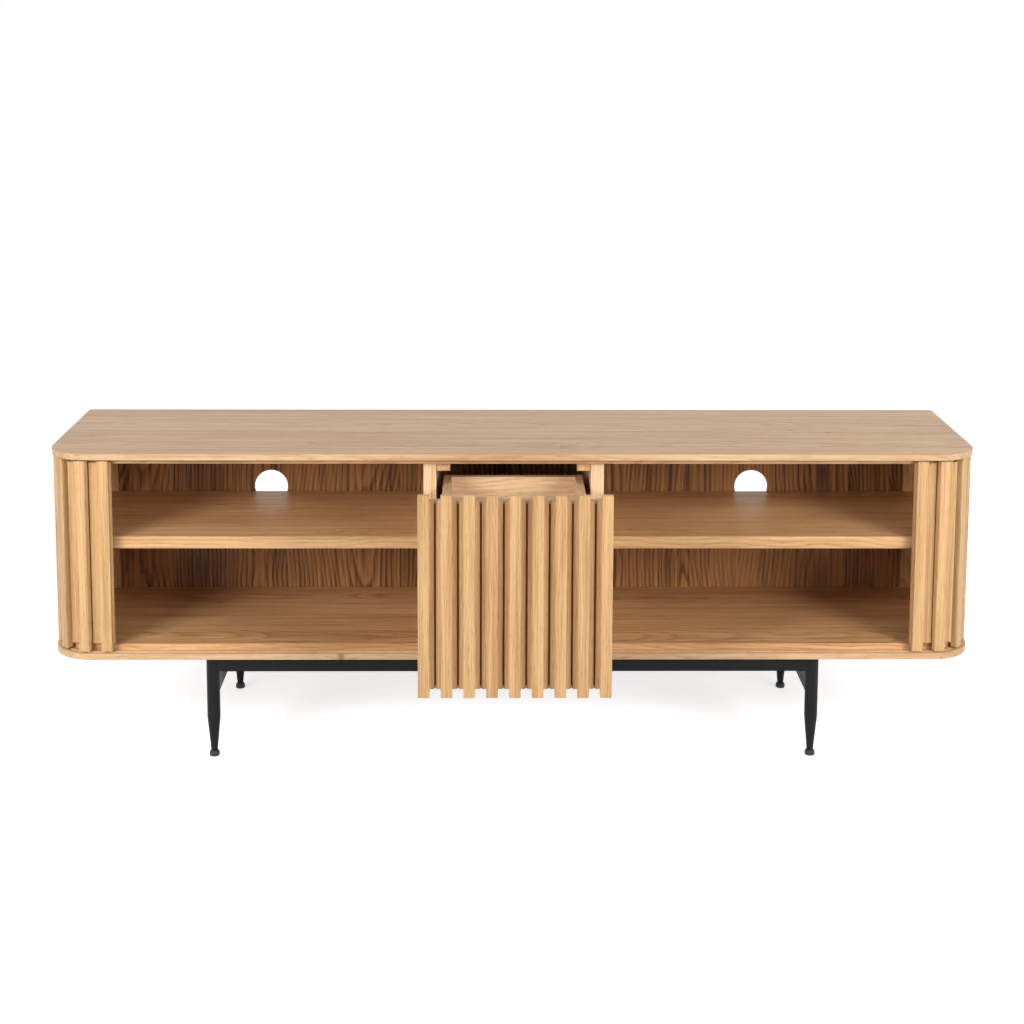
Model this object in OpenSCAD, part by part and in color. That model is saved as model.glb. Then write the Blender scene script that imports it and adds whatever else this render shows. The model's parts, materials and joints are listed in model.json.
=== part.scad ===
// Low media cabinet in oak with two tambour doors, a slatted centre drawer and a black steel base.
// Millimetres, +Z up, +X to the right, +Y to the back. Z = 0 is the floor and X = 0 the middle.
// Depths are counted from the front edge of the top and bottom plates; framed() places them on Y.

/* [Overall] */
// Width over the top and bottom plates
total_w = 1800; // [1760:10:1900]
// Depth of the top and bottom plates
plate_d = 400; // [400:1:402]
// Height from the floor to the underside of the bottom plate
leg_h = 202; // [180:1:240]
// Height of the wooden body, over both plates
body_h = 408; // [380:1:440]

/* [Boards] */
// Thickness of the top and bottom plates
plate_t = 12; // [11:1:15]
// Radius of the plates' front corners
corner_r = 80; // [70:1:90]
// Thickness of the inner top and bottom panels
inner_t = 12; // [10:1:15]
// Thickness of the dividers beside the drawer
divider_t = 25; // [18:1:30]
// Half the width of the drawer bay between the dividers
bay_half = 150; // [148:1:152]
// Thickness of each shelf
shelf_t = 24; // [18:1:28]
// Height of each shelf's top above the inner floor
shelf_up = 213; // [180:1:240]
// Radius of the two cable holes in the back
cable_r = 35; // [25:1:40]
// Distance of each cable hole from the middle
cable_x = 512; // [480:1:515]

/* [Tambour doors] */
// Number of slats in each door
slat_count = 18; // [14:1:18]
// Distance from one slat to the next along the canvas
slat_pitch = 41.25; // [41:0.05:41.5]
// Width of the raised rib of a slat
rib_w = 21; // [18:1:24]
// How far the rib stands out of its flange
rib_d = 13; // [10:1:13]
// Thickness of the flange behind the rib
flange_t = 4; // [3:0.5:4]
// Gap between a door slat's flange and the next slat's rib
door_gap = 1.5; // [1:0.5:2.5]
// Open joint between the flanges of two drawer slats
joint_gap = 3.5; // [1:0.5:4]
// Radius of the canvas line round the front corner
front_r = 59; // [58.8:0.1:59.2]
// Radius of the canvas line round the hidden rear corner
rear_r = 39; // [38.8:0.1:39.2]
// How far before the front corner the lead slat stands with the door open
lead_back = 29.5; // [28:0.5:30]

/* [Drawer] */
// How far the drawer stands open
drawer_pull = 240; // [0:5:330]
// Height of the drawer box
box_h = 298; // [200:1:310]
// Thickness of the box sides and back
box_t = 15; // [12:1:18]
// Length of each ball-bearing slide
slide_len = 330; // [320:1:330]

/* [Base] */
// Distance of the legs from the middle
leg_x = 586; // [540:1:620]
// Distance of the legs from the plates' front and rear edges
leg_in = 21; // [18:1:40]
// Diameter of the legs
leg_dia = 25.4; // [24:0.1:30]
// Height of the side rails
side_rail_h = 76; // [40:1:90]
// Height of the long front and rear rails
long_rail_h = 25; // [20:1:40]

/* [Hidden] */
$fn = 96;

// Colours
OAK = [0.86, 0.68, 0.48];
OAK_SHADE = [0.72, 0.53, 0.36];
OAK_SLAT = [0.90, 0.73, 0.52];
BLACK = [0.09, 0.09, 0.09];
ZINC = [0.70, 0.71, 0.73];
NYLON = [0.12, 0.12, 0.12];

// Heights
total_h = leg_h + body_h;
floor_z = leg_h + plate_t;              // top face of the bottom plate
ceiling_z = total_h - plate_t;          // underside of the top plate
inner_floor_z = floor_z + inner_t;      // top face of the inner bottom panel
inner_ceiling_z = ceiling_z - inner_t;  // underside of the inner top panel
inner_h = inner_ceiling_z - inner_floor_z;
shelf_z = inner_floor_z + shelf_up - shelf_t;

// Slats: the ribs run between the plates, the flanges between the inner panels
rib_end_gap = 3;
slat_front = 4;                         // depth of the ribs' front faces
slat_d = rib_d + flange_t;
canvas_depth = slat_front + slat_d;     // depth of the canvas line along the front
rib_z = floor_z + rib_end_gap;
rib_h = ceiling_z - floor_z - 2 * rib_end_gap;
flange_z = inner_floor_z + rib_end_gap;
door_flange_past = 4;                   // how far the door flanges reach up over the inner top panel's edge
door_flange_h = inner_ceiling_z + door_flange_past - flange_z;
drawer_drop = 3;                        // how much lower the drawer slats end than the door ribs
drawer_rib_h = rib_h - drawer_drop;
drawer_flange_h = inner_h - 2 * rib_end_gap - drawer_drop;
flange_trail = slat_pitch - rib_w / 2 - door_gap;  // from a door rib's middle to its flange's far edge
drawer_flange_w = slat_pitch - joint_gap;
rib_ease = 1;                           // chamfer along the ribs' front edges
lead_lip = 3;                           // flange past the rib on the lead slat's free edge
pin_r = 2;
pin_out_len = rib_end_gap + 4.5;
pin_in_len = 1;
groove_w = 6;
groove_t = 5;
pin_out = flange_t + rib_d / 2;         // from the canvas line out to the guide pins

// Outer skin
edge_x = total_w / 2;
skin_in = 0;                            // from the plates' ends to the side panels
skin_x = edge_x - skin_in;
side_t = 5;
back_t = 3;

// Canvas line: front, front corner, side, rear corner, rear
slat_run_gap = 1.5;                     // clearance between the ribs and the outer skin
canvas_x = skin_x - side_t - slat_run_gap - slat_d;
corner_x = canvas_x - front_r;
corner_y = canvas_depth + front_r;
canvas_rear = plate_d - back_t - slat_run_gap - slat_d;
rear_x = canvas_x - rear_r;
rear_y = canvas_rear - rear_r;
front_arc_end = front_r * PI / 2;
rear_arc_start = front_arc_end + rear_y - corner_y;
rear_arc_end = rear_arc_start + rear_r * PI / 2;
groove_past = 5;                        // from the dividers to the grooves' front ends
groove_front_end = bay_half + divider_t + groove_past;
groove_rear_end = 540;

// Inner panels stand clear of the canvas line
canvas_gap = 2.5;
panel_rear_r = rear_r - canvas_gap;
inner_wall_t = 12;
wall_bend_t = 4;
inner_wall_x = canvas_x - canvas_gap - inner_wall_t;
back_gap = 4.5;                         // from the canvas line to the inner back panel's front
back_play = 0.5;                        // inner back panel's clearance at each end
inner_back_y = canvas_rear - back_gap;
divider_x = bay_half + divider_t;
divider_front = 36;
shelf_front = 32;
shelf_play = 1;
cable_up = 10;                          // from a shelf's top to the middle of its cable hole
cable_skin_past = 8;                    // how much wider the holes are in the outer back panel
cable_z = shelf_z + shelf_t + cable_up;
cleat_w = 27;
cleat_h = 18;
cleat_in = 3;                           // from the dividers' front and rear ends

// Shelf pins
shelf_pin_r = 2.5;
shelf_pin_hole_r = 2.55;
shelf_pin_in = 8;
shelf_pin_out = 10;
shelf_pin_depths = [80, 320];

// Drawer, at the closed position; drawn() moves it out
front_slats = 9;
front_w = (front_slats - 1) * slat_pitch + rib_w;
board_t = 12;
board_back = canvas_depth + board_t;
slide_t = 12.7;
box_x = bay_half - slide_t;             // outer face of the box sides
box_up = 14;                            // gap under the drawer box
box_z = inner_floor_z + box_up;
box_len = 332;
box_rear = board_back + box_len;
bottom_t = 6;
bottom_up = 12;
bottom_groove = 5;

// Slides
slide_y = board_back + 1;
slide_up = 74;                          // slides' centre line above the inner floor
slide_z = inner_floor_z + slide_up;
sheet_t = 1.2;
outer_half_h = 22.5;
middle_half_h = 17.5;
drawer_half_h = 12.5;
outer_reach = 9.5;                      // width of each member's flanges
middle_reach = 7.9;
inner_reach = 7.5;
middle_in = 2.6;                        // from the divider to the middle member's web
ball_r = 1.8;
outer_ball_in = 6.9;                    // from the divider to each row of balls
inner_ball_in = 8;
outer_track_z = (outer_half_h - sheet_t + middle_half_h) / 2;
inner_track_z = (middle_half_h - sheet_t + drawer_half_h) / 2;
cage_w = 4.4;
cage_t = 1;
cage_len = 150;
cage_start = 90;
cage_balls = 8;
slide_screw_in = 30;                    // from a slide's ends to its end screws
slide_screw_r = 1.75;
slide_screw_head_r = 3.2;
slide_screw_head_t = 1;

// Base
plate_gauge = 3;
leg_top = leg_h - plate_gauge;
leg_r = leg_dia / 2;
leg_tip_r = 6.5;
leg_tip_z = 13;
leg_taper_z = 80;
leg_wall = 1.6;
foot_bore_r = 4;
foot_stem_r = 3.95;
foot_bore_top = 40;
foot_stem_top = 34;
foot_r = 10;
rail_w = 17;
rail_wall = 1.5;
mount_plate_w = 64;
mount_plate_past = 30;                  // from the legs' centre line in towards the middle
mount_plate_in = 8;
base_screw_x = [-20, 24];               // from the legs' centre line
base_screw_in = 60;                     // from the plates' front and rear edges

// The frame's origin is under the middle of the whole cabinet with the drawer pulled out
front_y = -(plate_d + slat_front - drawer_pull) / 2;

module framed() translate([0, front_y, 0]) children();
module left() mirror([1, 0, 0]) children();
module drawn(share = 1) translate([0, -drawer_pull * share, 0]) children();

// ---- Plates and panels ----

module quarter(r) intersection() {
    circle(r);
    square(r);
}

module plate_outline() {
    translate([-edge_x, corner_r]) square([total_w, plate_d - corner_r]);
    translate([-edge_x + corner_r, 0]) square([total_w - 2 * corner_r, plate_d]);
    for (s = [-1, 1]) translate([s * (edge_x - corner_r), corner_r]) circle(corner_r);
}

// A strip of width w that bends a quarter turn at radius r, from -Y round to +X
module bend(r, w) rotate(-90) difference() {
    quarter(r + w / 2);
    circle(r - w / 2);
}

// The path of the guide pins on the right side
module groove_outline() {
    track_front = canvas_depth - pin_out;
    track_side = canvas_x + pin_out;
    track_rear = canvas_rear + pin_out;
    translate([groove_front_end, track_front - groove_w / 2])
        square([corner_x - groove_front_end, groove_w]);
    translate([corner_x, corner_y]) bend(front_r + pin_out, groove_w);
    translate([track_side - groove_w / 2, corner_y]) square([groove_w, rear_y - corner_y]);
    translate([rear_x, rear_y]) rotate(90) bend(rear_r + pin_out, groove_w);
    translate([groove_rear_end, track_rear - groove_w / 2])
        square([rear_x - groove_rear_end, groove_w]);
}

module both_grooves() linear_extrude(groove_t + 1) {
    groove_outline();
    mirror([1, 0]) groove_outline();
}

module top_plate() framed() color(OAK) difference() {
    translate([0, 0, ceiling_z]) linear_extrude(plate_t) plate_outline();
    translate([0, 0, ceiling_z - 1]) both_grooves();
}

module bottom_plate() framed() color(OAK) difference() {
    translate([0, 0, leg_h]) linear_extrude(plate_t) plate_outline();
    translate([0, 0, floor_z - groove_t]) both_grooves();
}

// The area inside the canvas line, clear of it by front_gap at the front and rear_gap at the rear
module inside_canvas(front_gap, rear_gap) {
    front = canvas_depth + front_gap;
    rear = canvas_rear - rear_gap;
    side = canvas_x - front_gap;
    for (s = [-1, 1]) {
        translate([s * corner_x, corner_y]) circle(front_r - front_gap);
        translate([s * rear_x, rear_y]) circle(rear_r - rear_gap);
    }
    translate([-corner_x, front]) square([2 * corner_x, rear_y - front]);
    translate([-side, corner_y]) square([2 * side, rear_y - corner_y]);
    translate([-rear_x, corner_y]) square([2 * rear_x, rear - corner_y]);
}

module inner_panel() framed() color(OAK_SHADE)
    linear_extrude(inner_t) inside_canvas(canvas_gap, canvas_gap);
module inner_top_panel() translate([0, 0, inner_ceiling_z]) inner_panel();
module inner_bottom_panel() translate([0, 0, floor_z]) inner_panel();

// Blind holes for the shelf pins, in a wall whose face is at x, bored towards dir
module shelf_pin_holes(x, dir) for (y = shelf_pin_depths)
    translate([x - dir, y, shelf_z - shelf_pin_r]) rotate([0, dir * 90, 0])
        cylinder(r = shelf_pin_hole_r, h = shelf_pin_in + 1);

module right_divider() framed() color(OAK) difference() {
    translate([bay_half, divider_front, inner_floor_z])
        cube([divider_t, inner_back_y - divider_front, inner_h]);
    shelf_pin_holes(divider_x, -1);
}
module left_divider() left() right_divider();

// The inner wall hides the stored slats; its rear end bends round their path
module right_inner_wall() framed() color(OAK_SHADE) difference() {
    translate([0, 0, inner_floor_z]) linear_extrude(inner_h) {
        translate([inner_wall_x, corner_y]) square([inner_wall_t, rear_y - corner_y]);
        translate([rear_x, rear_y]) rotate(90) bend(panel_rear_r - wall_bend_t / 2, wall_bend_t);
    }
    shelf_pin_holes(inner_wall_x, 1);
}
module left_inner_wall() left() right_inner_wall();

module right_side_panel() framed() color(OAK)
    translate([skin_x - side_t, corner_y, floor_z])
        cube([side_t, plate_d - back_t - corner_y, ceiling_z - floor_z]);
module left_side_panel() left() right_side_panel();

module cable_holes(r) for (s = [-1, 1])
    translate([s * cable_x, plate_d / 2, cable_z]) rotate([-90, 0, 0])
        cylinder(r = r, h = plate_d);

module outer_back_panel() framed() color(OAK_SHADE) difference() {
    translate([-skin_x, plate_d - back_t, floor_z])
        cube([2 * skin_x, back_t, ceiling_z - floor_z]);
    cable_holes(cable_r + cable_skin_past);
}

module inner_back_panel() framed() color(OAK_SHADE) difference() {
    translate([back_play - rear_x, inner_back_y, inner_floor_z])
        cube([2 * (rear_x - back_play), back_t, inner_h]);
    cable_holes(cable_r);
}

// The shelf's outer corners are rounded, to clear the slats in front and the inner wall's bend behind
module shelf_outline() intersection() {
    translate([divider_x + shelf_play, shelf_front])
        square([inner_wall_x - divider_x - 2 * shelf_play, inner_back_y - 2 * shelf_play - shelf_front]);
    inside_canvas(canvas_gap + shelf_play, canvas_gap + wall_bend_t + shelf_play);
}
module right_shelf() framed() color(OAK)
    translate([0, 0, shelf_z]) linear_extrude(shelf_t) shelf_outline();
module left_shelf() left() right_shelf();

module shelf_pin_row(x, dir) for (y = shelf_pin_depths)
    translate([x - dir * shelf_pin_out, y, shelf_z - shelf_pin_r]) rotate([0, dir * 90, 0])
        cylinder(r = shelf_pin_r, h = shelf_pin_in + shelf_pin_out);

module shelf_pins() framed() color(ZINC) for (s = [0, 1]) mirror([s, 0, 0]) {
    shelf_pin_row(divider_x, -1);
    shelf_pin_row(inner_wall_x, 1);
}

module bay_cleats() framed() color(OAK_SHADE) for (s = [0, 1]) mirror([s, 0, 0])
    translate([bay_half - cleat_w, divider_front + cleat_in, inner_ceiling_z - cleat_h])
        cube([cleat_w, inner_back_y - divider_front - 2 * cleat_in, cleat_h]);

// ---- Tambour doors ----

// The flange lies along the canvas line, which is the X axis, from lead before the origin to trail past it
module flange_profile(lead, trail) translate([-lead, -flange_t]) square([lead + trail, flange_t]);

// The rib stands on the flange towards -Y, with its front edges eased
module rib_profile() {
    half = rib_w / 2;
    polygon([
        [-half, -flange_t], [half, -flange_t],
        [half, rib_ease - slat_d], [half - rib_ease, -slat_d],
        [rib_ease - half, -slat_d], [-half, rib_ease - slat_d]
    ]);
}

module plain_slat(lead, trail, flange_len, rib_len) {
    translate([0, 0, flange_z]) linear_extrude(flange_len) flange_profile(lead, trail);
    translate([0, 0, rib_z]) linear_extrude(rib_len) rib_profile();
}

// A door slat's flange trails behind its rib. A guide pin is let into the rib at each end
module slat(lead = rib_w / 2, trail = flange_trail) {
    plain_slat(lead, trail, door_flange_h, rib_h);
    for (z = [rib_z - pin_out_len, rib_z + rib_h - pin_in_len]) translate([0, -pin_out, z])
        cylinder(r = pin_r, h = pin_out_len + pin_in_len);
}

// Places a slat at distance s along the canvas line, counted from the front corner's start
module on_path(s) {
    if (s < 0)
        translate([corner_x + s, canvas_depth, 0]) children();
    else if (s < front_arc_end)
        translate([corner_x, corner_y, 0]) rotate(s / front_r * 180 / PI)
            translate([0, -front_r, 0]) children();
    else if (s < rear_arc_start)
        translate([canvas_x, corner_y + s - front_arc_end, 0]) rotate(90) children();
    else if (s < rear_arc_end)
        translate([rear_x, rear_y, 0]) rotate(90 + (s - rear_arc_start) / rear_r * 180 / PI)
            translate([0, -rear_r, 0]) children();
    else
        translate([rear_x - s + rear_arc_end, canvas_rear, 0]) rotate(180) children();
}

function slat_s(i) = i * slat_pitch - lead_back;

// The slats that stand between two distances along the canvas line. The last slat's flange ends with its rib
module slats_between(low, high) framed() color(OAK_SLAT)
    for (i = [1 : slat_count - 1]) if (slat_s(i) >= low && slat_s(i) < high)
        on_path(slat_s(i)) slat(trail = i < slat_count - 1 ? flange_trail : rib_w / 2);

module right_lead_slat() framed() color(OAK_SLAT)
    on_path(slat_s(0)) slat(lead = rib_w / 2 + lead_lip);
module right_corner_slats() slats_between(0, front_arc_end);
module right_side_slats() slats_between(front_arc_end, rear_arc_start);
module right_rear_corner_slat() slats_between(rear_arc_start, rear_arc_end);
module right_rear_slats() slats_between(rear_arc_end, rear_arc_end + rear_x);
module left_lead_slat() left() right_lead_slat();
module left_corner_slats() left() right_corner_slats();
module left_side_slats() left() right_side_slats();
module left_rear_corner_slat() left() right_rear_corner_slat();
module left_rear_slats() left() right_rear_slats();

// ---- Drawer ----

// On the drawer each flange reaches as far on both sides. The outer slats' flanges end flush with their ribs
module drawer_slats() framed() drawn() color(OAK_SLAT) intersection() {
    for (i = [0 : front_slats - 1])
        translate([(i - (front_slats - 1) / 2) * slat_pitch, canvas_depth, 0])
            plain_slat(drawer_flange_w / 2, drawer_flange_w / 2, drawer_flange_h, drawer_rib_h);
    translate([-front_w / 2, 0, 0]) cube([front_w, plate_d, total_h]);
}

module drawer_front_board() framed() drawn() color(OAK_SHADE)
    translate([-front_w / 2, canvas_depth, flange_z]) cube([front_w, board_t, drawer_flange_h]);

module drawer_right_side() framed() drawn() color(OAK) difference() {
    translate([box_x - box_t, board_back, box_z]) cube([box_t, box_rear - board_back, box_h]);
    translate([0, board_back - 1, box_z + bottom_up])
        cube([box_x - box_t + bottom_groove, box_rear, bottom_t]);
}
module drawer_left_side() left() drawer_right_side();

module drawer_back() framed() drawn() color(OAK)
    translate([box_t - box_x, box_rear - box_t, box_z + bottom_up + bottom_t])
        cube([2 * (box_x - box_t), box_t, box_h - bottom_up - bottom_t]);

module drawer_bottom() framed() drawn() color(OAK_SHADE)
    translate([box_t - box_x - bottom_groove, board_back, box_z + bottom_up])
        cube([2 * (box_x - box_t + bottom_groove), box_rear - board_back, bottom_t]);

// ---- Ball-bearing slides ----

// A slide member: a web at x, with a flange along its top and bottom edge reaching to x + reach
module channel(x, reach, half_h) {
    translate([min(x, x + reach), 0]) {
        for (z = [-half_h, half_h - sheet_t]) translate([0, z]) square([abs(reach), sheet_t]);
        translate([reach > 0 ? 0 : -reach - sheet_t, -half_h]) square([sheet_t, 2 * half_h]);
    }
}

// Stands a cross-section drawn in X and Z up along the slide, len long from start
module along_slide(start, len) translate([0, start + len, slide_z]) rotate([90, 0, 0])
    linear_extrude(len) children();

module right_outer_slide() framed() color(ZINC)
    along_slide(slide_y, slide_len) channel(bay_half, -outer_reach, outer_half_h);
module right_middle_slide() framed() drawn(0.5) color(ZINC)
    along_slide(slide_y, slide_len) channel(bay_half - middle_in, -middle_reach, middle_half_h);
module right_inner_slide() framed() drawn() color(ZINC)
    along_slide(slide_y, slide_len) channel(box_x, inner_reach, drawer_half_h);
module left_outer_slide() left() right_outer_slide();
module left_middle_slide() left() right_middle_slide();
module left_inner_slide() left() right_inner_slide();

// Two strips that hold the balls above and below a member
module ball_cage(x, z) for (s = [-1, 1]) {
    along_slide(slide_y + cage_start, cage_len)
        translate([x - cage_w / 2, s * z - cage_t / 2]) square([cage_w, cage_t]);
    for (i = [0 : cage_balls - 1])
        translate([x, slide_y + cage_start + (i + 0.5) * cage_len / cage_balls, slide_z + s * z])
            sphere(r = ball_r, $fn = 24);
}
module right_outer_ball_cage() framed() drawn(0.25) color(ZINC)
    ball_cage(bay_half - outer_ball_in, outer_track_z);
module right_inner_ball_cage() framed() drawn(0.75) color(ZINC)
    ball_cage(bay_half - inner_ball_in, inner_track_z);
module left_outer_ball_cage() left() right_outer_ball_cage();
module left_inner_ball_cage() left() right_inner_ball_cage();

// A screw whose head's underside is at the origin and whose shank runs along +Z
module screw(shank_r, shank_len, head_r, head_t) {
    translate([0, 0, -head_t]) cylinder(r = head_r, h = head_t);
    cylinder(r = shank_r, h = shank_len);
}

// Three screws through the web at x, driven towards dir
module slide_screw_row(x, dir, shank_len)
    for (y = [slide_screw_in, slide_len / 2, slide_len - slide_screw_in])
        translate([x, slide_y + y, slide_z]) rotate([0, dir * 90, 0])
            screw(slide_screw_r, shank_len, slide_screw_head_r, slide_screw_head_t);

module slide_screws() framed() color(ZINC) for (s = [0, 1]) mirror([s, 0, 0])
    slide_screw_row(bay_half - sheet_t, 1, 14);

module drawer_screws() framed() drawn() color(ZINC) for (s = [0, 1]) mirror([s, 0, 0])
    slide_screw_row(box_x + sheet_t, -1, 13);

// ---- Steel base ----

module leg(x, y) translate([x, y, 0]) rotate_extrude() polygon([
    [foot_bore_r, leg_tip_z], [leg_tip_r, leg_tip_z], [leg_r, leg_taper_z], [leg_r, leg_top],
    [leg_r - leg_wall, leg_top], [leg_r - leg_wall, leg_taper_z],
    [leg_tip_r + 1, foot_bore_top], [foot_bore_r, foot_bore_top]
]);

module foot(x, y) translate([x, y, 0]) {
    cylinder(r = foot_stem_r, h = foot_stem_top);
    rotate_extrude() polygon([
        [0, 0], [foot_r - 1.4, 0], [foot_r - 0.2, 1.2], [foot_r, 4], [foot_r - 0.4, 7.5],
        [foot_r - 1.6, 10], [foot_r - 3.6, leg_tip_z - 1], [0, leg_tip_z - 1]
    ]);
}

leg_front = leg_in;
leg_rear = plate_d - leg_in;
module front_right_leg() framed() color(BLACK) leg(leg_x, leg_front);
module rear_right_leg() framed() color(BLACK) leg(leg_x, leg_rear);
module front_left_leg() left() front_right_leg();
module rear_left_leg() left() rear_right_leg();
module front_right_foot() framed() color(NYLON) foot(leg_x, leg_front);
module rear_right_foot() framed() color(NYLON) foot(leg_x, leg_rear);
module front_left_foot() left() front_right_foot();
module rear_left_foot() left() rear_right_foot();

// A rectangular tube from corner to corner, hollow along axis 0 (X) or 1 (Y)
module tube(low, size, axis) difference() {
    translate(low) cube(size);
    through = [for (i = [0 : 2]) i == axis ? -1 : rail_wall];
    translate(low + through) cube(size - 2 * through);
}

module leg_solids() for (s = [-1, 1], y = [leg_front, leg_rear])
    translate([s * leg_x, y, 0]) cylinder(r = leg_r, h = total_h);

module right_side_rail() framed() color(BLACK) difference() {
    tube([leg_x - rail_w / 2, leg_front, leg_top - side_rail_h],
        [rail_w, leg_rear - leg_front, side_rail_h], 1);
    leg_solids();
}
module left_side_rail() left() right_side_rail();

module long_rail(y) framed() color(BLACK) difference() {
    tube([-leg_x, y - rail_w / 2, leg_top - long_rail_h], [2 * leg_x, rail_w, long_rail_h], 0);
    leg_solids();
}
module front_rail() long_rail(leg_front);
module rear_rail() long_rail(leg_rear);

module right_mounting_plate() framed() color(BLACK)
    translate([leg_x - mount_plate_past, mount_plate_in, leg_top])
        cube([mount_plate_w, plate_d - 2 * mount_plate_in, plate_gauge]);
module left_mounting_plate() left() right_mounting_plate();

module base_screws() framed() color(ZINC) for (s = [0, 1]) mirror([s, 0, 0])
    for (x = base_screw_x, y = [base_screw_in, plate_d / 2, plate_d - base_screw_in])
        translate([leg_x + x, y, leg_top]) screw(2.2, 20, 4.5, 2.4);

// ---- Nodes ----

top_plate();
bottom_plate();
inner_top_panel();
inner_bottom_panel();
left_divider();
right_divider();
left_inner_wall();
right_inner_wall();
left_side_panel();
right_side_panel();
outer_back_panel();
inner_back_panel();
left_shelf();
right_shelf();
shelf_pins();
bay_cleats();
left_outer_slide();
right_outer_slide();
slide_screws();
left_mounting_plate();
right_mounting_plate();
base_screws();
front_left_leg();
front_right_leg();
rear_left_leg();
rear_right_leg();
left_side_rail();
right_side_rail();
front_rail();
rear_rail();
front_left_foot();
front_right_foot();
rear_left_foot();
rear_right_foot();
drawer_slats();
drawer_front_board();
drawer_left_side();
drawer_right_side();
drawer_back();
drawer_bottom();
left_inner_slide();
right_inner_slide();
drawer_screws();
left_middle_slide();
right_middle_slide();
left_outer_ball_cage();
right_outer_ball_cage();
left_inner_ball_cage();
right_inner_ball_cage();
left_lead_slat();
right_lead_slat();
left_corner_slats();
right_corner_slats();
left_side_slats();
right_side_slats();
left_rear_corner_slat();
right_rear_corner_slat();
left_rear_slats();
right_rear_slats();
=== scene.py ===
"""Looks for a low oak media cabinet with tambour doors, a slatted drawer and a black steel base."""

import json
import math
import random

import bmesh
import bpy
from mathutils import Matrix, Vector


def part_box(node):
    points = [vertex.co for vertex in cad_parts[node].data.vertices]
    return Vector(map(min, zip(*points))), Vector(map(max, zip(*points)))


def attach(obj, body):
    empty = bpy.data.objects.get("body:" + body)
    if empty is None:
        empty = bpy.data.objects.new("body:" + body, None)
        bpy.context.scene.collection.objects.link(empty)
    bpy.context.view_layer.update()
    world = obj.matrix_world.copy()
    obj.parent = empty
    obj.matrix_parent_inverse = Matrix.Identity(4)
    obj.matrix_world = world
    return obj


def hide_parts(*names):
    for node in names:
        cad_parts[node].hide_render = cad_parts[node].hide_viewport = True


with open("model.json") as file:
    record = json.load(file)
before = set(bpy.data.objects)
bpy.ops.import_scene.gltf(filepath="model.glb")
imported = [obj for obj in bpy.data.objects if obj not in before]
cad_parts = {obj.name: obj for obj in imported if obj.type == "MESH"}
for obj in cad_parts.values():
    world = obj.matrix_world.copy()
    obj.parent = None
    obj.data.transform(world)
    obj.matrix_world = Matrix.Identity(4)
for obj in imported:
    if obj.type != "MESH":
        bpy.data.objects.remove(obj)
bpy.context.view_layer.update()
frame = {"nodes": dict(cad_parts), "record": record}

NODE_BODY = {node: body for body, nodes in frame["record"]["behaviour"]["bodies"].items() for node in nodes}
NODE_SLOT = {part["node"]: part["material_slot"] for part in frame["record"]["subparts"]}

MERGE = 1e-6                     # vertices closer than this are one
FLAT = math.radians(0.5)         # triangles that turn less than this are one face
SHARP = math.radians(28)         # edges that turn more than this are rounded
SMOOTH = math.radians(50)        # and edges that turn less than this are shaded smooth
AXES = {"x": 0, "y": 1, "z": 2}


# ---- Materials ----


class Tree:
    """A material's node tree, with short ways to add what the materials here are made of."""

    def __init__(self, name):
        self.material = bpy.data.materials.new(name)
        self.material.use_nodes = True
        self.tree = self.material.node_tree
        self.shader = self.tree.nodes["Principled BSDF"]

    def node(self, kind, inputs=(), **settings):
        node = self.tree.nodes.new(kind)
        for key, value in settings.items():
            setattr(node, key, value)
        for key, value in dict(inputs).items():
            self.put(value, node.inputs[key])
        return node

    def put(self, value, socket):
        if isinstance(value, bpy.types.NodeSocket):
            self.tree.links.new(value, socket)
        else:
            socket.default_value = value

    def set(self, **inputs):
        for key, value in inputs.items():
            self.put(value, self.shader.inputs[key.replace("_", " ")])

    def math(self, operation, a, b=0.0, c=0.0):
        return self.node("ShaderNodeMath", {0: a, 1: b, 2: c}, operation=operation).outputs[0]

    def vector(self, operation, a, b):
        return self.node("ShaderNodeVectorMath", {0: a, 1: b}, operation=operation).outputs[0]

    def attribute(self, name):
        return self.node("ShaderNodeAttribute", attribute_name=name)

    def split(self, vector):
        return self.node("ShaderNodeSeparateXYZ", {0: vector}).outputs

    def join(self, x, y, z):
        return self.node("ShaderNodeCombineXYZ", {0: x, 1: y, 2: z}).outputs[0]

    def noise(self, vector, scale=(1, 1, 1), detail=2.0, roughness=0.5):
        """Noise from about 0 to 1, with its own scale along each axis."""
        scaled = self.vector("MULTIPLY", vector, scale)
        inputs = {"Vector": scaled, "Scale": 1.0, "Detail": detail, "Roughness": roughness}
        return self.node("ShaderNodeTexNoise", inputs).outputs["Fac"]

    def range(self, value, low, high, to_low=0.0, to_high=1.0):
        inputs = {"Value": value, 1: low, 2: high, 3: to_low, 4: to_high}
        return self.node("ShaderNodeMapRange", inputs, clamp=True).outputs[0]

    def ramp(self, factor, stops):
        node = self.node("ShaderNodeValToRGB", {"Fac": factor})
        elements = node.color_ramp.elements
        while len(elements) < len(stops):
            elements.new(0.5)
        for element, (place, shade) in zip(elements, stops):
            element.position = place
            element.color = (shade, shade, shade, 1)
        return node.outputs["Color"]

    def mix(self, factor, a, b, blend="MIX"):
        inputs = {"Factor": factor, "A": a, "B": b}
        node = self.tree.nodes.new("ShaderNodeMix")
        node.data_type, node.blend_type = "RGBA", blend
        sockets = {s.identifier: s for s in node.inputs}
        self.put(inputs["Factor"], sockets["Factor_Float"])
        self.put(inputs["A"], sockets["A_Color"])
        self.put(inputs["B"], sockets["B_Color"])
        return next(s for s in node.outputs if s.identifier == "Result_Color")

    def bump(self, height, distance, strength=1.0):
        inputs = {"Height": height, "Distance": distance, "Strength": strength}
        self.put(self.node("ShaderNodeBump", inputs).outputs[0], self.shader.inputs["Normal"])


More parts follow.
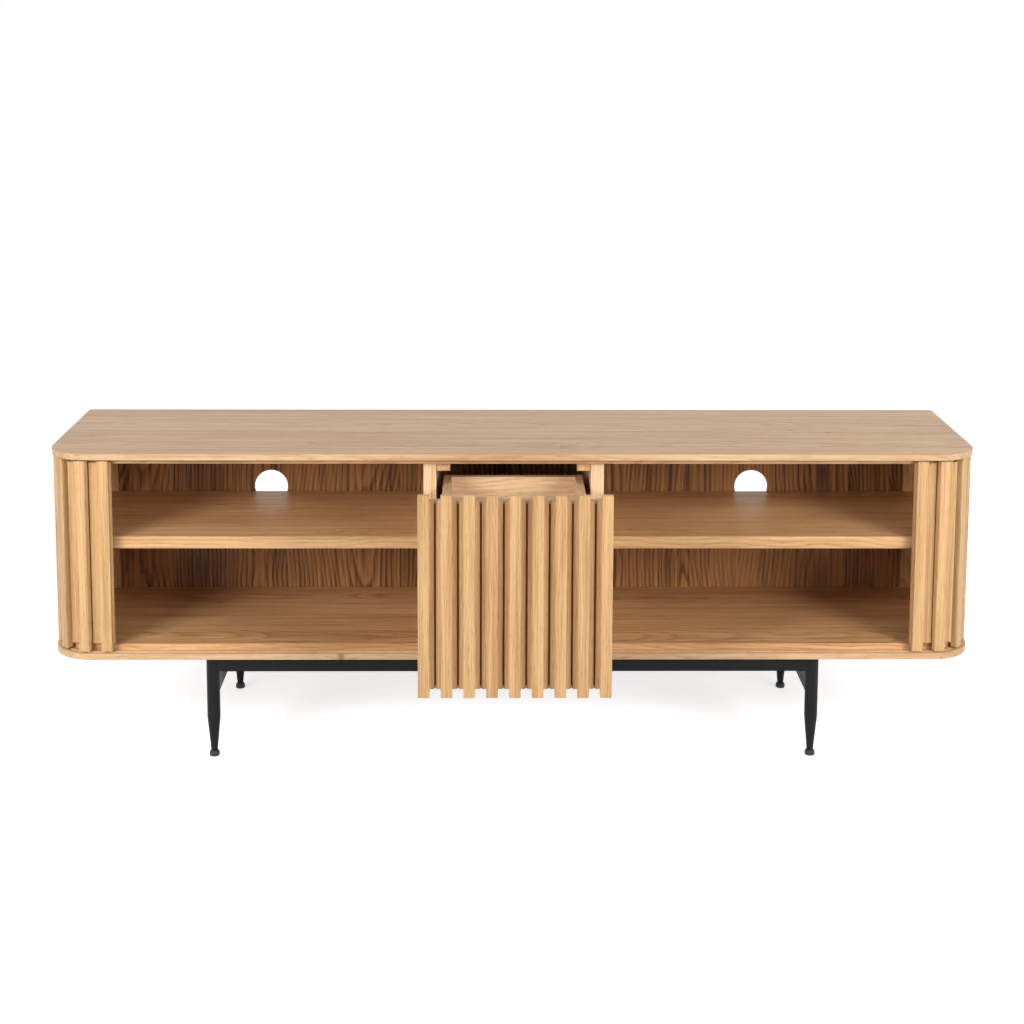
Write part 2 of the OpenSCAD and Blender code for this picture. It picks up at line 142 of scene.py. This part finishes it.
# How fast each layer of the grain varies across, along and through it, in features a metre
KNOTS = (3.4, 1.5, 0.0)
FIBRES = (420.0, 6.0, 420.0)
STREAKS = (120.0, 2.4, 120.0)
CLOUDS = (7.0, 1.4, 7.0)
PORES = (1100.0, 40.0, 1100.0)
PITH_WANDER = (1.2, 1.7, 1.2)
PITH_SWELL = (2.1, 2.6, 2.1)
RING_RIPPLE = (90.0, 9.0, 90.0)
SEED_SPREAD = (3.1, 2.3, 1.7)    # how far apart two boards' seeds put them in the noise
PORE_TINT, KNOT_TINT = (0.46, 0.36, 0.30, 1), (0.62, 0.52, 0.45, 1)


def oak(name, pale, deep, leaf_w, ring_w, figure, fibres=1.0, clouds=1.0, roughness=0.42):
    """Oak: growth rings about a pith behind each veneer leaf, fibres, dark pores and some pin knots."""
    tree = Tree(name)
    grain = tree.attribute("grain").outputs["Vector"]
    seed = tree.attribute("seed").outputs["Vector"]
    tone = tree.attribute("tone").outputs["Fac"]
    across, along, depth = tree.split(grain)
    leaf = tree.math("FLOOR", tree.math("DIVIDE", across, leaf_w))
    leaf_seed = tree.vector("ADD", seed, tree.join(leaf, 0, 0))
    pick = tree.node("ShaderNodeTexWhiteNoise", {"Vector": leaf_seed}, noise_dimensions="3D")
    pick_x, pick_y, pick_z = tree.split(pick.outputs["Color"])
    own = tree.vector("ADD", grain, tree.vector("MULTIPLY", leaf_seed, SEED_SPREAD))

    # Pin knots, wider apart along the grain, which push the rings aside
    knot_place = tree.vector("MULTIPLY", own, KNOTS)
    cells = {"Vector": knot_place, "Scale": 1.0, "Randomness": 1.0}
    knot_away = tree.node("ShaderNodeTexVoronoi", cells, voronoi_dimensions="2D").outputs["Distance"]
    knot = tree.range(knot_away, 0.004, 0.013, 1.0, 0.0)
    knot_push = tree.math("POWER", tree.range(knot_away, 0.0, 0.11, 1.0, 0.0), 2.0)

    # The pith line wanders and leans along the grain, which draws arches in the middle of a leaf
    centre = tree.math("MULTIPLY_ADD", tree.math("ADD", leaf, 0.5), leaf_w, 0.0)
    side = tree.math("SUBTRACT", across, centre)
    side = tree.math("MULTIPLY_ADD", tree.math("SUBTRACT", pick_x, 0.5), leaf_w * 0.7, side)
    wander = tree.math("SUBTRACT", tree.noise(own, PITH_WANDER, 3.0), 0.5)
    side = tree.math("MULTIPLY_ADD", wander, 0.09, side)
    lean = tree.math("MULTIPLY", tree.math("SUBTRACT", pick_z, 0.5), 0.16)
    behind = tree.math("MULTIPLY_ADD", along, lean, tree.math("MULTIPLY_ADD", pick_y, 0.05, 0.02))
    swell = tree.math("SUBTRACT", tree.noise(own, PITH_SWELL, 2.0), 0.5)
    behind = tree.math("ADD", tree.math("MULTIPLY_ADD", swell, 0.07, behind), depth)
    squares = tree.math("ADD", tree.math("POWER", side, 2.0), tree.math("POWER", behind, 2.0))
    reach = tree.math("SQRT", squares)
    ripple = tree.noise(own, RING_RIPPLE, 2.0)
    rings = tree.math("MULTIPLY_ADD", ripple, 0.55, tree.math("DIVIDE", reach, ring_w))
    rings = tree.math("MULTIPLY_ADD", knot_push, 1.8, rings)
    ring = tree.math("FRACT", rings)
    early = tree.ramp(ring, [(0.0, 0.35), (0.12, 1.0), (0.42, 0.45), (0.9, 0.0), (1.0, 0.35)])

    fibre = tree.noise(own, FIBRES, 3.0, 0.65)
    streak = tree.noise(own, STREAKS, 3.0, 0.6)
    cloud = tree.noise(own, CLOUDS, 3.0)
    pore = tree.range(tree.noise(own, PORES, 1.0), 0.58, 0.70)
    pores = tree.math("MULTIPLY", pore, tree.math("MULTIPLY_ADD", early, 0.75, 0.25))

    dark = tree.math("MULTIPLY_ADD", early, figure, 0.42 - 0.4 * figure)
    dark = tree.math("MULTIPLY_ADD", tree.math("SUBTRACT", fibre, 0.5), 1.5 * fibres, dark)
    dark = tree.math("MULTIPLY_ADD", tree.math("SUBTRACT", streak, 0.5), 1.9 * fibres, dark)
    dark = tree.math("MULTIPLY_ADD", tree.math("SUBTRACT", cloud, 0.5), 1.3 * clouds, dark)
    dark = tree.math("MULTIPLY_ADD", knot_push, 0.25, dark)
    dark = tree.math("ADD", dark, tone)
    dark = tree.range(dark, 0.0, 1.0)
    colour = tree.mix(dark, (*pale, 1), (*deep, 1))
    porous = tree.mix(1.0, colour, PORE_TINT, "MULTIPLY")
    colour = tree.mix(tree.math("MULTIPLY", pores, 0.7), colour, porous)
    knotty = tree.mix(1.0, colour, KNOT_TINT, "MULTIPLY")
    colour = tree.mix(knot, colour, knotty)
    tree.set(Base_Color=colour)
    rough = tree.math("MULTIPLY_ADD", fibre, 0.12, roughness - 0.06)
    tree.set(Roughness=tree.math("MULTIPLY_ADD", pores, 0.18, rough))
    height = tree.math("MULTIPLY_ADD", fibre, 0.35, tree.math("MULTIPLY", pores, -1.0))
    tree.bump(height, 0.00012, 0.7)
    return tree.material


def powder_coat(name):
    """Black powder coat with a fine orange peel."""
    tree = Tree(name)
    place = tree.node("ShaderNodeTexCoord").outputs["Object"]
    peel = tree.noise(place, (700.0,) * 3, 2.0)
    dust = tree.noise(place, (14.0,) * 3, 3.0)
    tree.set(Base_Color=tree.mix(dust, (0.008, 0.008, 0.0085, 1), (0.016, 0.0155, 0.015, 1)))
    tree.set(Roughness=tree.range(dust, 0.3, 0.7, 0.4, 0.56), Specular_IOR_Level=0.12)
    tree.bump(peel, 0.0002, 0.35)
    return tree.material


def zinc(name, brightness, roughness):
    """Zinc plating, a little cloudy."""
    tree = Tree(name)
    place = tree.node("ShaderNodeTexCoord").outputs["Object"]
    cloud = tree.noise(place, (60.0,) * 3, 4.0)
    low = (brightness * 0.82, brightness * 0.83, brightness * 0.85, 1)
    high = (brightness, brightness * 1.01, brightness * 1.04, 1)
    tree.set(Base_Color=tree.mix(cloud, low, high), Metallic=1.0)
    tree.set(Roughness=tree.range(cloud, 0.3, 0.7, roughness - 0.07, roughness + 0.08))
    tree.bump(tree.noise(place, (900.0,) * 3, 1.0), 0.00005, 0.4)
    return tree.material


def nylon(name):
    """Moulded black nylon with a fine grain."""
    tree = Tree(name)
    place = tree.node("ShaderNodeTexCoord").outputs["Object"]
    spark = tree.noise(place, (1300.0,) * 3, 2.0)
    tree.set(Base_Color=tree.mix(spark, (0.010, 0.010, 0.010, 1), (0.018, 0.018, 0.019, 1)))
    tree.set(Roughness=tree.range(spark, 0.2, 0.8, 0.45, 0.62))
    tree.bump(spark, 0.0001, 0.5)
    return tree.material


THREAD_PITCH = 0.0011


def canvas(name):
    """Brown cotton canvas in a plain weave."""
    tree = Tree(name)
    across, along, _ = tree.split(tree.attribute("grain").outputs["Vector"])
    thread = 2 * math.pi / THREAD_PITCH
    warp = tree.math("SINE", tree.math("MULTIPLY", across, thread))
    weft = tree.math("SINE", tree.math("MULTIPLY", along, thread))
    weave = tree.math("MULTIPLY_ADD", tree.math("MULTIPLY", warp, weft), 0.5, 0.5)
    tree.set(Base_Color=tree.mix(weave, (0.13, 0.062, 0.028, 1), (0.27, 0.14, 0.068, 1)), Roughness=0.9)
    tree.bump(weave, 0.0003, 0.6)
    return tree.material


VENEER, VENEER_DEEP = (0.70, 0.47, 0.27), (0.47, 0.265, 0.125)
SLAT, SLAT_DEEP = (0.66, 0.42, 0.20), (0.46, 0.25, 0.10)
# The shelves' oak: a darker, more saturated copy of the veneer oak, as painted shade for the dim shelves
# inside the compartments
SHELF_PAINTED_SHADE, SHELF_PAINTED_SHADE_DEEP = (0.72, 0.45, 0.225), (0.46, 0.235, 0.085)
INNER, INNER_DEEP = (0.70, 0.42, 0.20), (0.38, 0.19, 0.073)
# The back boards' tone: partly their own darker stain and wild grain, partly painted shade for the dim back
# walls of the compartments
BACK_STAIN_AND_SHADE, BACK_STAIN_AND_SHADE_DEEP = (0.50, 0.25, 0.094), (0.09, 0.034, 0.009)
# The drawer's oak: partly its own paler tone, partly painted light that brightens its back board and,
# through the finishes below, the dividers
DRAWER_TONE_AND_LIGHT, DRAWER_TONE_AND_LIGHT_DEEP = (0.82, 0.56, 0.34), (0.58, 0.36, 0.185)
MATERIALS = {
    "oak_veneer": oak("oak_veneer", VENEER, VENEER_DEEP, leaf_w=0.19, ring_w=0.0072, figure=0.5),
    "oak_shelf_painted_shade": oak("oak_shelf_painted_shade", SHELF_PAINTED_SHADE, SHELF_PAINTED_SHADE_DEEP, leaf_w=0.19, ring_w=0.0072, figure=0.5),
    "oak_inner": oak("oak_inner", INNER, INNER_DEEP, leaf_w=0.22, ring_w=0.0070, figure=0.5),
    "back_board": oak("back_board", BACK_STAIN_AND_SHADE, BACK_STAIN_AND_SHADE_DEEP, leaf_w=0.24, ring_w=0.0085, figure=0.95, clouds=1.5),
    "oak_slat": oak("oak_slat", SLAT, SLAT_DEEP, leaf_w=0.8, ring_w=0.0060, figure=0.45, fibres=1.2),
    "drawer_oak": oak("drawer_oak", DRAWER_TONE_AND_LIGHT, DRAWER_TONE_AND_LIGHT_DEEP, leaf_w=0.16, ring_w=0.0075, figure=0.6),
    "black_steel": powder_coat("black_steel"),
    "foot_nylon": nylon("foot_nylon"),
    "slide_steel": zinc("slide_steel", 0.66, 0.3),
    "screw_steel": zinc("screw_steel", 0.72, 0.26),
}
CANVAS = canvas("door_canvas")

# Nodes whose finish isn't their slot's plain one, to paint light and shade on them: the shelves get the oak
# with painted shade, the inner back panel the back board's dark tone with painted shade, and the dividers
# the drawer's paler oak as painted light
PAINTED_LIGHT_LOOKS = {"left_shelf": "oak_shelf_painted_shade", "right_shelf": "oak_shelf_painted_shade", "inner_back_panel": "back_board",
         "left_divider": "drawer_oak", "right_divider": "drawer_oak"}


# ---- Pieces that stand for the CAD nodes ----


def whole_faces(node):
    """A CAD node's mesh, with its triangles merged back into whole faces."""
    mesh = bmesh.new()
    mesh.from_mesh(frame["nodes"][node].data)
    bmesh.ops.remove_doubles(mesh, verts=mesh.verts, dist=MERGE)
    bmesh.ops.dissolve_limit(mesh, angle_limit=FLAT, verts=mesh.verts, edges=mesh.edges)
    bmesh.ops.recalc_face_normals(mesh, faces=mesh.faces)
    return mesh


def islands(mesh):
    """The mesh's loose parts, as lists of vertices in a fixed order."""
    seen, found = set(), []
    for start in mesh.verts:
        if start in seen:
            continue
        seen.add(start)
        part, front = [start], [start]
        while front:
            for edge in front.pop().link_edges:
                for vert in edge.verts:
                    if vert not in seen:
                        seen.add(vert)
                        part.append(vert)
                        front.append(vert)
        found.append(part)
    return found


def box_of(verts):
    low = Vector(min(v.co[i] for v in verts) for i in range(3))
    high = Vector(max(v.co[i] for v in verts) for i in range(3))
    return low, high


def soften(mesh, width):
    """Rounds the sharp edges."""
    edges = [e for e in mesh.edges if e.is_manifold and e.calc_face_angle() > SHARP]
    if width and edges:
        bmesh.ops.bevel(mesh, geom=edges, offset=width, offset_type="OFFSET", segments=3, profile=0.5,
                        affect="EDGES", clamp_overlap=True)


SEEDS = 60                       # seeds are drawn below this


def lay_grain(mesh, along, name, tone_spread):
    """Stores where each vertex lies in its own board: across, along and through the grain, with a seed."""
    layers = mesh.verts.layers
    grain, seed = layers.float_vector.new("grain"), layers.float_vector.new("seed")
    tone = layers.float.new("tone")
    for index, part in enumerate(islands(mesh)):
        low, high = box_of(part)
        middle, size = (low + high) / 2, high - low
        others = sorted((i for i in range(3) if i != AXES[along]), key=lambda i: -size[i])
        draw = random.Random(f"{name} {index}")
        own_seed = Vector((draw.randrange(SEEDS), draw.randrange(SEEDS), draw.randrange(SEEDS)))
        own_tone = draw.uniform(-tone_spread, tone_spread)
        for vert in part:
            offset = vert.co - middle
            vert[grain] = (offset[others[0]], offset[AXES[along]], offset[others[1]])
            vert[seed] = own_seed
            vert[tone] = own_tone


def finish_mesh(mesh, name, material, body):
    """Makes the piece's object, shades its rounded edges smooth and lets it ride."""
    data = bpy.data.meshes.new(name)
    for face in mesh.faces:
        face.smooth = True
    mesh.to_mesh(data)
    mesh.free()
    data.materials.append(material)
    data.set_sharp_from_angle(angle=SMOOTH)
    piece = bpy.data.objects.new(name, data)
    bpy.context.scene.collection.objects.link(piece)
    weighted = piece.modifiers.new("shading", "WEIGHTED_NORMAL")
    weighted.keep_sharp = True
    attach(piece, body)
    return piece


def dress(node, along, edge, tone_spread):
    """Replaces a CAD node by the same solid with eased edges and its grain laid along an axis."""
    mesh = whole_faces(node)
    soften(mesh, edge)
    lay_grain(mesh, along, node, tone_spread)
    slot = NODE_SLOT[node]
    # The slot's plain finish, or one with painted light or shade
    look = MATERIALS[PAINTED_LIGHT_LOOKS.get(node, slot)]
    piece = finish_mesh(mesh, node + "_finished", look, NODE_BODY[node])
    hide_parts(node)


# The right door's canvas line in plan: along the front, round two corners of these radii, along the rear
FRONT_R, REAR_R = 0.059, 0.039
LINE_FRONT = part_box("right_lead_slat")[1][1]
LINE_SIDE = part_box("right_side_slats")[0][0]
LINE_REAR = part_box("right_rear_slats")[0][1]
FRONT_CENTRE = Vector((LINE_SIDE - FRONT_R, LINE_FRONT + FRONT_R))
REAR_CENTRE = Vector((LINE_SIDE - REAR_R, LINE_REAR - REAR_R))
FRONT_ARC_END = FRONT_R * math.pi / 2
REAR_ARC_START = FRONT_ARC_END + REAR_CENTRE.y - FRONT_CENTRE.y
REAR_ARC_END = REAR_ARC_START + REAR_R * math.pi / 2


def on_line(s, inset):
    """A point at distance s along the canvas line from the front corner, and inset towards the inside."""
    if s < LEAD_END:
        return Vector((FRONT_CENTRE.x + s, LINE_FRONT + inset))
    if s < FRONT_ARC_END:
        turn = s / FRONT_R
        return FRONT_CENTRE + (FRONT_R - inset) * Vector((math.sin(turn), -math.cos(turn)))
    if s < REAR_ARC_START:
        return Vector((LINE_SIDE - inset, FRONT_CENTRE.y + s - FRONT_ARC_END))
    if s < REAR_ARC_END:
        turn = (s - REAR_ARC_START) / REAR_R
        return REAR_CENTRE + (REAR_R - inset) * Vector((math.cos(turn), math.sin(turn)))
    return Vector((REAR_CENTRE.x - s + REAR_ARC_END, LINE_REAR - inset))


# Where each group's canvas starts and ends along the line. The breaks lie behind flanges at every
# door position. The corner's canvas starts a little before its arc, already bent. The lead's run stops
# a hair before LEAD_END, so that all of it lies on the straight
LEAD_END = -0.014
REAR_HEM_X = 0.556
CANVAS_RUNS = {
    "lead": (-0.042, LEAD_END - MERGE),
    "corner": (-0.008, FRONT_ARC_END),
    "side": (FRONT_ARC_END + 0.010, REAR_ARC_START - 0.004),
    "rear_corner": (REAR_ARC_START + 0.0136, REAR_ARC_END),
    "rear": (REAR_ARC_END + 0.008, REAR_ARC_END + REAR_CENTRE.x - REAR_HEM_X),
}
CANVAS_STEP = 0.003
CANVAS_INSETS = (0.0001, 0.0008)      # the cloth's two faces, just inside the line
CANVAS_CLEAR = 0.006                  # from the flanges' ends to the cloth's hems


def canvas_run(side, group, node):
    """The stretch of canvas that joins one group of a door's slats, following the canvas line."""
    start, end = CANVAS_RUNS[group]
    low, high = flange_heights(node)
    count = max(2, math.ceil((end - start) / CANVAS_STEP))
    mesh = bmesh.new()
    grain = mesh.verts.layers.float_vector.new("grain")
    rows = []
    for i in range(count + 1):
        s = start + (end - start) * i / count
        row = []
        for inset in CANVAS_INSETS:
            for height in (low + CANVAS_CLEAR, high - CANVAS_CLEAR):
                spot = on_line(s, inset)
                vert = mesh.verts.new((side * spot.x, spot.y, height))
                vert[grain] = (s, height, inset)
                row.append(vert)
        rows.append((row[0], row[1], row[3], row[2]))
    for here, there in zip(rows, rows[1:]):
        for i in range(4):
            j = (i + 1) % 4
            mesh.faces.new((here[i], here[j], there[j], there[i]))
    mesh.faces.new(rows[0])
    mesh.faces.new(rows[-1])
    bmesh.ops.recalc_face_normals(mesh, faces=mesh.faces)
    name = node[:node.index("_")] + "_" + group + "_canvas"
    finish_mesh(mesh, name, CANVAS, NODE_BODY[node])


def flange_heights(node):
    """The lowest and highest point of a slat's back face."""
    mesh = whole_faces(node)
    back = max(mesh.faces, key=lambda face: face.calc_area())
    low, high = box_of(back.verts)
    mesh.free()
    return low.z, high.z


# The drawer's slats: how many, how wide their ribs are, and the canvas that shows between them
DRAWER_SLATS, RIB_W = 9, 0.021
JOINT_CANVAS_W = 0.0033
JOINT_CANVAS_OUT = (0.0005, 0.00005)  # the cloth's two faces, in front of the drawer's board


def joint_canvas():
    """The canvas that shows as a dark strip in each joint between the drawer's slats."""
    slats_low, slats_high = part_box("drawer_slats")
    board_low, board_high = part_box("drawer_front_board")
    pitch = (slats_high[0] - slats_low[0] - RIB_W) / (DRAWER_SLATS - 1)
    middle = (slats_low[0] + slats_high[0]) / 2
    height = board_high[2] - board_low[2]
    thick = JOINT_CANVAS_OUT[0] - JOINT_CANVAS_OUT[1]
    mesh = bmesh.new()
    for i in range(DRAWER_SLATS - 1):
        place = Vector((middle + (i - (DRAWER_SLATS - 2) / 2) * pitch,
                        board_low[1] - sum(JOINT_CANVAS_OUT) / 2, board_low[2] + height / 2))
        size = Matrix.Diagonal((JOINT_CANVAS_W, thick, height - 2 * CANVAS_CLEAR, 1))
        bmesh.ops.create_cube(mesh, size=1.0, matrix=Matrix.Translation(place) @ size)
    lay_grain(mesh, "z", "drawer_joint_canvas", 0.0)
    finish_mesh(mesh, "drawer_joint_canvas", CANVAS, NODE_BODY["drawer_slats"])


SIDES = {"left": -1, "right": 1}

# Which way the grain runs where it isn't upright
ALONG_X = ("top_plate", "bottom_plate", "inner_top_panel", "inner_bottom_panel", "left_shelf",
           "right_shelf", "drawer_back", "drawer_bottom", "front_rail", "rear_rail")
ALONG_Y = ("bay_cleats", "drawer_left_side", "drawer_right_side")
DOOR_GROUPS = {"lead": "lead_slat", "corner": "corner_slats", "side": "side_slats",
               "rear_corner": "rear_corner_slat", "rear": "rear_slats"}

# How far edges are eased, and how much the boards and the slats differ in tone
WOOD_EDGE = 0.0008
FINE = {"slide_steel": 0.0002, "screw_steel": 0.0002, "foot_nylon": 0.0003, "black_steel": 0.0005}
BOARD_TONES, SLAT_TONES = 0.05, 0.16

for name in frame["nodes"]:
    slot_name = NODE_SLOT[name]
    direction = "x" if name in ALONG_X else "y" if name in ALONG_Y else "z"
    spread = SLAT_TONES if slot_name == "oak_slat" else BOARD_TONES
    dress(name, direction, FINE.get(slot_name, WOOD_EDGE), spread)
for side_name, mirror in SIDES.items():
    for group_name, group_node in DOOR_GROUPS.items():
        canvas_run(mirror, group_name, f"{side_name}_{group_node}")
joint_canvas()


# ---- Floor, lights and camera ----


FLOOR_RADIUS, FLOOR_DROP = 40.0, 0.0002
FLOOR_GLOW = 0.6


def floor():
    """A plain pale floor."""
    tree = Tree("floor_white")
    place = tree.node("ShaderNodeTexCoord").outputs["Object"]
    patches = tree.noise(place, (2.0,) * 3)
    tree.set(Base_Color=tree.mix(patches, (0.93, 0.93, 0.93, 1), (0.96, 0.96, 0.96, 1)))
    tree.set(Roughness=0.9, Emission_Color=(1, 1, 1, 1), Emission_Strength=FLOOR_GLOW)
    mesh = bmesh.new()
    bmesh.ops.create_circle(mesh, cap_ends=True, radius=FLOOR_RADIUS, segments=64)
    data = bpy.data.meshes.new("floor")
    mesh.to_mesh(data)
    mesh.free()
    data.materials.append(tree.material)
    ground = bpy.data.objects.new("floor", data)
    ground.location.z = -FLOOR_DROP
    bpy.context.scene.collection.objects.link(ground)
    ground.visible_diffuse = False


# Broad lights from far off: degrees to the right of the cabinet's front, degrees up, spread in degrees,
# strength, and whether they show in glossy surfaces
SOFTBOXES = {
    "left_softbox": (-52, 18, 25, 0.5, True),
    "right_softbox": (52, 18, 25, 0.5, True),
    "front_softbox": (0, 35, 45, 0.5, True),
    "rear_softbox": (180, 15, 45, 0.3, False),
    "top_softbox": (0, 80, 60, 0.42, True),
}
# Square light panels near the cabinet: where they stand and what they face
PANELS = {
    "left_panel": ((-2.0, -2.0, 1.3), (-0.6, 0, 0.4)),
    "right_panel": ((2.0, -2.0, 1.3), (0.6, 0, 0.4)),
}
PANEL_WIDTH, PANEL_POWER = 0.9, 56
WORLD_FILL = 0.08                # the surroundings' strength for diffuse light


def softbox(name, azimuth, elevation, spread, strength, glossy):
    """A broad, even light from far off."""
    data = bpy.data.lights.new(name, "SUN")
    data.angle = math.radians(spread)
    data.energy = strength
    light = bpy.data.objects.new(name, data)
    turn, rise = math.radians(azimuth), math.radians(elevation)
    towards = Vector((-math.sin(turn) * math.cos(rise), math.cos(turn) * math.cos(rise), -math.sin(rise)))
    light.rotation_euler = towards.to_track_quat("-Z", "Y").to_euler()
    light.visible_glossy = glossy
    bpy.context.scene.collection.objects.link(light)


def panel_light(name, place, aim):
    """A square light panel that stands near the cabinet. It doesn't show in glossy surfaces."""
    data = bpy.data.lights.new(name, "AREA")
    data.size = PANEL_WIDTH
    data.energy = PANEL_POWER
    light = bpy.data.objects.new(name, data)
    light.location = place
    light.rotation_euler = (Vector(aim) - Vector(place)).to_track_quat("-Z", "Y").to_euler()
    light.visible_glossy = False
    bpy.context.scene.collection.objects.link(light)


def studio():
    """White surroundings that are dim for diffuse light, with the softboxes and the panels."""
    world = bpy.data.worlds.new("studio")
    world.use_nodes = True
    tree = world.node_tree
    background = tree.nodes["Background"]
    background.inputs["Color"].default_value = (1, 1, 1, 1)
    path = tree.nodes.new("ShaderNodeLightPath")
    dim = tree.nodes.new("ShaderNodeMapRange")
    dim.inputs["To Min"].default_value = 1.0
    dim.inputs["To Max"].default_value = WORLD_FILL
    tree.links.new(path.outputs["Is Diffuse Ray"], dim.inputs["Value"])
    tree.links.new(dim.outputs[0], background.inputs["Strength"])
    bpy.context.scene.world = world
    for name, settings in SOFTBOXES.items():
        softbox(name, *settings)
    for name, (place, aim) in PANELS.items():
        panel_light(name, place, aim)


CAMERA_PLACE = Vector((-0.0444, -3.3747, 1.4213))
CAMERA_TURN, CAMERA_TILT, CAMERA_ROLL = 0.01193, 0.12924, 0.00348
SENSOR_WIDTH, LENS, SHIFT_Y = 36, 61.9, -0.25


def camera():
    """Stands in front of the cabinet, above it, turned and tilted a little."""
    turn, tilt, roll = CAMERA_TURN, CAMERA_TILT, CAMERA_ROLL
    ahead = Vector((math.sin(turn) * math.cos(tilt), math.cos(turn) * math.cos(tilt), -math.sin(tilt)))
    level = Vector((math.cos(turn), -math.sin(turn), 0))
    above = level.cross(ahead)
    right = level * math.cos(roll) + above * math.sin(roll)
    up = above * math.cos(roll) - level * math.sin(roll)
    data = bpy.data.cameras.new("camera")
    data.sensor_width = SENSOR_WIDTH
    data.lens = LENS
    data.shift_y = SHIFT_Y
    view = bpy.data.objects.new("camera", data)
    view.matrix_world = Matrix.Translation(CAMERA_PLACE) @ Matrix((right, up, -ahead)).transposed().to_4x4()
    bpy.context.scene.collection.objects.link(view)
    bpy.context.scene.camera = view


floor()
studio()
camera()
bpy.context.scene.view_settings.view_transform = "Standard"
